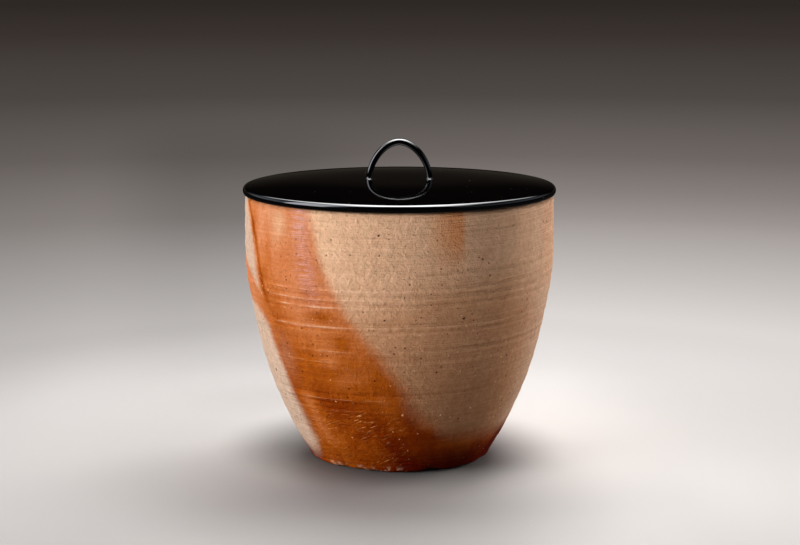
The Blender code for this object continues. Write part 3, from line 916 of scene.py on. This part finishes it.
# The handle.
# A thin round bar of bent wood, thickest at its crown. Its two ends are tenoned into the
# board, and the lacquer has pooled into a small fillet round each foot.
handle_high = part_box("lid_handle")[1]
CROWN_BAR_RADIUS = 0.0022
FOOT_BAR_RADIUS = 0.00175
HANDLE_HALF_SPAN = handle_high.x - FOOT_BAR_RADIUS
HANDLE_FOOT = float(crown_height(HANDLE_HALF_SPAN))
HANDLE_RISE = handle_high.z - CROWN_BAR_RADIUS - HANDLE_FOOT
ARCH_POWER = 1.8
FILLET_WIDTH = 0.0006
FILLET_HEIGHT = 0.00027
FOOT_BELOW = 0.0006
HANDLE_RINGS = 140
HANDLE_COLUMNS = 36


def handle_grid():
    """The bar: a circle carried along a superellipse arch, wider where it meets the lid."""
    angle = np.linspace(math.pi, 0.0, HANDLE_RINGS)
    share = abs(np.sin(angle)) ** (2 / ARCH_POWER)
    x = np.sign(np.cos(angle)) * abs(np.cos(angle)) ** (2 / ARCH_POWER) * HANDLE_HALF_SPAN
    z = HANDLE_FOOT + HANDLE_RISE * share
    line = np.stack([x, z], 1)
    stub = HANDLE_FOOT - FOOT_BELOW
    line = np.concatenate([[[-HANDLE_HALF_SPAN, stub]], line, [[HANDLE_HALF_SPAN, stub]]])
    share = np.concatenate([[0.0], share, [0.0]])
    along = np.gradient(line, axis=0)
    along /= np.linalg.norm(along, axis=1, keepdims=True)
    out = np.stack([-along[:, 1], along[:, 0]], 1)
    height = np.maximum(line[:, 1] - HANDLE_FOOT, 0.0)
    radius = (FOOT_BAR_RADIUS + (CROWN_BAR_RADIUS - FOOT_BAR_RADIUS) * share
              + FILLET_WIDTH * np.exp(-height / FILLET_HEIGHT))
    turn = np.linspace(0.0, 2 * math.pi, HANDLE_COLUMNS, endpoint=False)
    side = radius[:, None] * np.cos(turn)
    grid = np.stack([line[:, 0, None] + out[:, 0, None] * side,
                     radius[:, None] * np.sin(turn),
                     line[:, 1, None] + out[:, 1, None] * side], -1)
    ends = [np.repeat(grid[k].mean(0)[None, None], len(turn), 1) for k in (0, -1)]
    return np.concatenate([ends[0], grid, ends[1]])


place_piece("bent_handle", closed_mesh("bent_handle", handle_grid()), "lid",
            black_lacquer("handle_lacquer", 0.06), ["lid_handle"])

# The studio.
# A pale sweep, whose far part is a painted glow in place of lit paper that darkens with distance,
# with painted light across it and a painted shadow round the jar's foot; a soft lamp low on the
# left, another low behind on the right, and a large one overhead. The lacquer mirrors the
# world's cards, not the lamps.
VIEW_DISTANCE = 1.2864
VIEW_HEIGHT = 0.3298
VIEW_SIDE = 0.0004
VIEW_PITCH = 9.55
PHOTO_WIDTH = 800
FOCAL_PIXELS = 2107
SENSOR_MM = 36.0
FLOOR_REACH = 14.0
PAPER_TONE = tone(189, 187, 186)
PAPER_LIT_REACH = 0.19
PAPER_GLOW_REACH = 0.45
SWEEP_REACH = 7.0
# Painted light across the sweep and the paper near it: darker to the left, lighter to the right
SWEEP_LEAN = 0.9
PAPER_LEAN = 0.23
# Painted shadow round the jar's foot: its depth, its reach, and how far its middle lies left of
# and behind the axis
FOOT_SHADE = 0.60
FOOT_SHADE_REACH = 0.116
FOOT_SHADE_LEFT = 0.006
FOOT_SHADE_BACK = 0.018
# That painted light's limit in slope of sight, where it fades with distance, and its span and
# reach on the paper
LEAN_LIMIT = 0.075
SWEEP_LEAN_REACH = (4.0, 0.6)
PAPER_LEAN_SPAN = (-0.13, 0.13)
PAPER_LEAN_REACH = (0.30, 0.14)
FRONT_MIDDLE = 0.005
MIRRORED_SWEEP_LOSS = 0.95
# Washes of shade (minus) and light: how much, then windows, each a place with where it sets
# in and where it is full. Places are metres right, back, off a middle line and from the jar
# (reach), and the sideways slope of the line of sight
LEFT_SWEEP = (("reach", 2.40, 1.50), ("slope", 0.02, -0.06), ("slope", -0.15, -0.095))
SWEEP_WASHES = (
    (-0.08, (("reach", 0.22, 0.30), *LEFT_SWEEP)),
    (-0.13, (("reach", 0.65, 1.10), *LEFT_SWEEP)),
    (0.18, (("reach", 0.28, 0.50), ("reach", 1.35, 0.95), ("slope", 0, 0.06), ("slope", 1, 0.5))),
    (-0.15, (("back", 0.08, 0.17), ("off_middle", 0.26, 0.0), ("reach", 0.42, 0.28))),
)
# The same on the paper round the jar: contact shade, in front, front right, behind
PAPER_WASHES = (
    (-0.42, (("reach", 0.120, FOOT_RADIUS), ("back", 0.0, -0.05), ("right", -0.075, -0.01))),
    (-0.21, (("back", -0.055, -0.14), ("off_front", 0.16, 0.0))),
    (0.09, (("back", 0.02, -0.05), ("slope", 0.03, 0.06), ("slope", 0.115, 0.08))),
    (-0.14, (("right", 0.07, 0.20), ("back", -0.16, 0.02))),
)
# Painted glow in place of lit paper on the far sweep: share of the square root of the distance,
# and the red, green and blue seen there
SWEEP_TONES = (
    (0.00, 214, 209, 206), (0.20, 212, 207, 204), (0.26, 202, 197, 194), (0.31, 180, 175, 172),
    (0.39, 143, 136, 133), (0.49, 107, 100, 97), (0.62, 78, 72, 69), (0.83, 57, 50, 47),
    (1.00, 47, 41, 38),
)
AIR_GLOW = (0.07, 0.066, 0.064, 1.0)
BACKDROP_BLACK = (0.003, 0.002, 0.002, 1.0)
BACKDROP_GLOW = (0.034, 0.029, 0.023, 1.0)
CARD_GLOW = (26.0, 26.2, 26.5, 1.0)
LEFT_GLOW = (0.7, 0.78, 0.9, 1.0)
BOX_GLOW = (7.0, 7.1, 7.7, 1.0)
# What mirrors see, one over the other: glow, how much of it, and windows on the direction's
# parts: right, back, up, aside to either hand, and back less a bend aside. Card overhead, left
# card, soft box, right card, backdrop
CARD_BEND = 0.8
CARDS = (
    (CARD_GLOW, 1.0, (("up", 0.42, 0.58), ("back", -0.55, -0.40), ("aside", 0.74, 0.12),
                      ("bent_back", 0.32, 0.08))),
    (LEFT_GLOW, 1.0, (("right", -0.45, -0.95), ("up", 0.02, 0.16), ("up", 0.62, 0.30))),
    (BOX_GLOW, 1.0, (("right", -0.45, -0.70), ("back", -0.62, -0.50), ("back", 0.08, -0.04),
                     ("up", 0.0, 0.12), ("up", 0.85, 0.62))),
    (LEFT_GLOW, 0.5, (("right", 0.50, 0.95), ("up", 0.02, 0.16), ("up", 0.60, 0.30))),
    (BACKDROP_GLOW, 1.0, (("up", 0.19, 0.0), ("back", 0.0, 0.5))),
)
# Lamps: azimuth and elevation (degrees), distance, width and height (m), watts and colour
LAMPS = {
    "left_lamp": (-61, 9, 1.6, 0.9, 0.7, 31.6, (1.0, 0.975, 0.95)),
    "right_lamp": (127, 6, 1.7, 0.6, 0.7, 30.4, (1.0, 0.93, 0.87)),
    "top_lamp": (176, 58, 1.5, 1.5, 1.1, 40, (1.0, 0.98, 0.97)),
}
LAMP_AIM = 0.09
FLOOR_SIDES = 96


def add_camera():
    """Camera at the photograph's place: far back with a long lens, looking a little down."""
    data = bpy.data.cameras.new("view")
    data.sensor_width = SENSOR_MM
    data.lens = FOCAL_PIXELS * SENSOR_MM / PHOTO_WIDTH
    camera = bpy.data.objects.new("view", data)
    camera.location = (VIEW_SIDE, -VIEW_DISTANCE, VIEW_HEIGHT)
    camera.rotation_euler = (math.radians(90 - VIEW_PITCH), 0.0, 0.0)
    bpy.context.scene.collection.objects.link(camera)
    bpy.context.scene.camera = camera


def floor_finish():
    """Pale paper by the jar; further off, a painted glow in place of lit paper that turns dark
    grey.
    """
    paint = Finish(bpy.data.materials.new("paper_sweep"))
    x, y, _ = paint.split(paint.where())
    distance = paint.node("VectorMath", {"operation": "LENGTH"},
                          {0: paint.join(x, y, 0.0)}, out=1)
    near = paint.node("MapRange", values={"Value": distance, "From Max": SWEEP_REACH})
    shade = paint.node("ValToRGB", {"stops": SWEEP_TONES}, {0: near.math("SQRT", near)})
    # Painted light: darker to the left and lighter to the right
    slope = x / (distance + VIEW_DISTANCE)
    side = slope.lesser(LEAN_LIMIT)
    near_side = (x.rise(*PAPER_LEAN_SPAN) - 0.5) * distance.rise(*PAPER_LEAN_REACH)
    lean = side * SWEEP_LEAN + near_side * PAPER_LEAN
    lean = 1.0 + lean * distance.rise(*SWEEP_LEAN_REACH)
    off_front = x - FRONT_MIDDLE
    places = {"right": x, "back": y, "off_middle": x.math("ABSOLUTE", x),
              "off_front": x.math("ABSOLUTE", off_front), "reach": distance, "slope": slope}
    for amount, windows in SWEEP_WASHES:
        lean = lean + paint.within(places, windows) * amount
    shade = paint.dimmed(shade, lean)
    # Painted shadow round the foot, then the painted washes of shade and light on the paper
    to_foot = paint.node("VectorMath", {"operation": "LENGTH"},
                         {0: paint.join(x + FOOT_SHADE_LEFT, y - FOOT_SHADE_BACK, 0.0)}, out=1)
    shaded = lean * (1.0 - to_foot.rise(FOOT_SHADE_REACH, FOOT_RADIUS) * FOOT_SHADE)
    for amount, windows in PAPER_WASHES:
        shaded = shaded * (paint.within(places, windows) * amount + 1.0)
    paint.set("Base Color", paint.dimmed(PAPER_TONE[:3], shaded))
    paint.set("Roughness", 0.9)
    paint.set("Specular IOR Level", 0.1)
    # Beyond the lit paper, camera rays see the painted glow in place of lit paper
    glossy = paint.node("LightPath", out="Is Glossy Ray")
    seen = paint.node("LightPath", out="Is Camera Ray").greater(glossy)
    strength = 1.0 - glossy * MIRRORED_SWEEP_LOSS
    glow = paint.node("Emission", values={"Color": shade, "Strength": strength})
    far = (distance.rise(PAPER_LIT_REACH, PAPER_GLOW_REACH) * seen).greater(glossy)
    paper_or_glow = paint.node("MixShader", values={
        0: far, 1: Wire(paint, paint.shader.outputs[0]), 2: glow})
    paint.feed(paint.tree.nodes["Material Output"].inputs["Surface"], paper_or_glow)
    return paint.owner


def add_floor():
    """A round flat sheet of paper."""
    turn = np.linspace(0.0, 2 * math.pi, FLOOR_SIDES, endpoint=False)
    edge = np.stack([np.cos(turn), np.sin(turn), 0 * turn], 1) * FLOOR_REACH
    mesh = bpy.data.meshes.new("paper_floor")
    mesh.from_pydata(edge.tolist(), [], [list(range(len(turn)))])
    mesh.materials.append(floor_finish())
    floor = bpy.data.objects.new("paper_floor", mesh)
    bpy.context.scene.collection.objects.link(floor)


def add_lamp(name, azimuth, elevation, distance, width, height, watts, colour):
    """Rectangular soft lamp on a sphere round the jar, turned towards it."""
    data = bpy.data.lights.new(name, "AREA")
    data.shape = "RECTANGLE"
    data.size, data.size_y = width, height
    data.energy = watts
    data.color = colour
    lamp = bpy.data.objects.new(name, data)
    a, e = math.radians(azimuth), math.radians(elevation)
    offset = np.array([math.sin(a) * math.cos(e), -math.cos(a) * math.cos(e), math.sin(e)])
    lamp.location = offset * distance + np.array([0, 0, LAMP_AIM])
    lamp.visible_glossy = False
    lamp.rotation_euler = (math.acos(offset[2]), 0.0,
                           math.atan2(-offset[1], -offset[0]) - math.pi / 2)
    bpy.context.scene.collection.objects.link(lamp)


def add_world():
    """Dim even light all round. Mirrors see black, a long bright card overhead and behind,
    cool faint ones at both sides, a soft box, and the dark backdrop near the horizon."""
    world = bpy.data.worlds.new("studio_air")
    bpy.context.scene.world = world
    air = Finish(world, "Background")
    x, y, z = air.split(air.node("TexCoord", out="Generated"))
    aside = x.math("ABSOLUTE", x)
    parts = {"right": x, "back": y, "up": z, "aside": aside, "bent_back": y - aside * CARD_BEND}
    mirrored = BACKDROP_BLACK
    for card_glow, share, windows in CARDS:
        mirrored = air.mix(air.within(parts, windows) * share, mirrored, card_glow)
    glossy = air.node("LightPath", out="Is Glossy Ray")
    camera = air.node("LightPath", out="Is Camera Ray")
    seen = air.mix(camera, AIR_GLOW, tone(*SWEEP_TONES[-1][1:]))
    air.set("Color", air.mix(glossy, seen, mirrored))


add_camera()
add_floor()
for lamp_name, lamp_values in LAMPS.items():
    add_lamp(lamp_name, *lamp_values)
add_world()
bpy.context.scene.view_settings.view_transform = "Standard"
